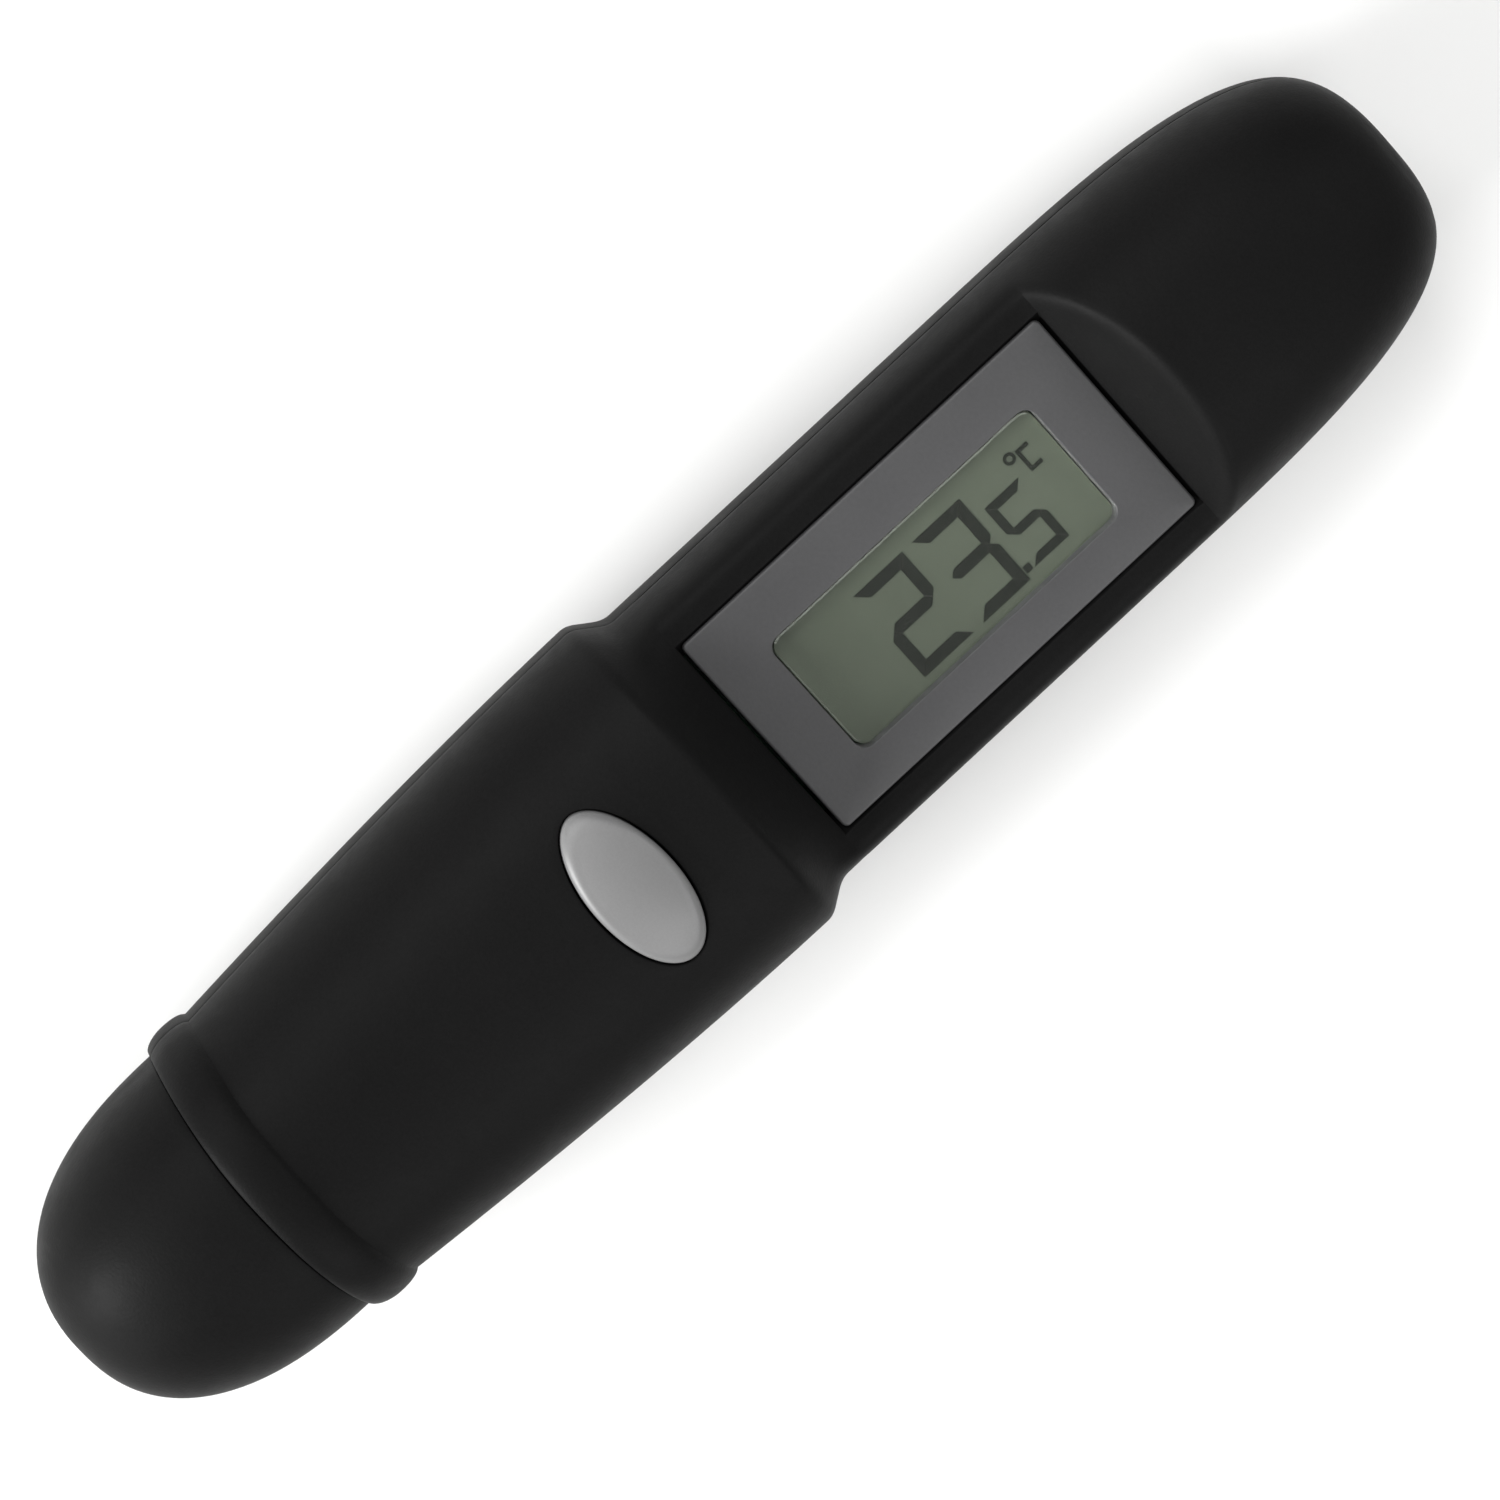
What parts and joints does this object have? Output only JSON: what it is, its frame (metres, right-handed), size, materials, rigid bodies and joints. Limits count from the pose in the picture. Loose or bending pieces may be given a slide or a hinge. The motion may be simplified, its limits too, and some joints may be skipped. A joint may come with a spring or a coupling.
{
  "type": "infrared thermometer",
  "caption": "Pen-shaped infrared thermometer with a sunk LCD, one thumb button, a sensor window in its nose and a pull-off battery cap.",
  "frame": {"origin": "middle of the footprint, on the flat of the back", "axes": "+X across the pen, +Y along it to the sensor end, +Z out of the display"},
  "size_m": [0.0186, 0.084, 0.0158],
  "materials": {
    "black_abs": "fine matte texture",
    "cap_abs": "fine matte texture",
    "panel_abs": "satin",
    "button_abs": "satin",
    "clear_pmma": "clear",
    "lcd": "reflective green-grey",
    "rubber": "matte",
    "wire_cover": "matte",
    "nickel": "plated",
    "steel": "plain",
    "brass": "plain",
    "aluminium": "turned",
    "board": "solder mask",
    "chip": "moulded",
    "white_plastic": "matte",
    "ceramic": "matte",
    "infrared_window": "smooth",
    "gold": "gold plated"
  },
  "bodies": {
    "case": {"front_housing": "black_abs", "back_housing": "black_abs", "case_screw_tail": "steel", "case_screw_head": "steel", "cap_seal": "rubber", "cell_tube": "nickel", "positive_terminal": "brass", "terminal_insulator": "white_plastic", "positive_lead": "wire_cover", "negative_lead": "wire_cover", "switch_body": "chip", "display_panel": "panel_abs", "display_lens": "clear_pmma", "lcd_glass": "lcd", "lcd_polariser": "lcd", "contact_strip_left": "rubber", "contact_strip_right": "rubber", "lcd_frame": "white_plastic", "circuit_board": "board", "controller_chip": "chip", "amplifier_chip": "chip", "sense_capacitor": "ceramic", "clock_crystal": "steel", "sensor_cone": "aluminium", "sensor_header": "gold", "sensor_can": "nickel", "sensor_filter": "infrared_window", "sensor_lead_left_1": "gold", "sensor_lead_right_1": "gold", "sensor_lead_left_2": "gold", "sensor_lead_right_2": "gold", "nose_lens": "infrared_window"},
    "tail_cap": {"battery_cap": "cap_abs", "cap_contact": "nickel", "cap_spring": "steel"},
    "cells": {"button_cell_1": "steel", "button_cell_2": "steel"},
    "button": {"button_cap": "button_abs", "switch_plunger": "white_plastic"}
  },
  "joints": [
    {"name": "cap_slide", "type": "slide", "parent": "case", "child": "tail_cap", "axis": [0, -1, 0], "range_m": [0, 0.03]},
    {"name": "cells_slide", "type": "slide", "parent": "case", "child": "cells", "axis": [0, -1, 0], "range_m": [0, 0.015]},
    {"name": "button_press", "type": "slide", "parent": "case", "child": "button", "axis": [0, 0, -1], "range_m": [0, 0.0006], "stiffness_N_per_m": 2500}
  ],
  "couplings": [
    {"joint": "cells_slide", "follows": "cap_slide", "ratio": 0.5}
  ]
}
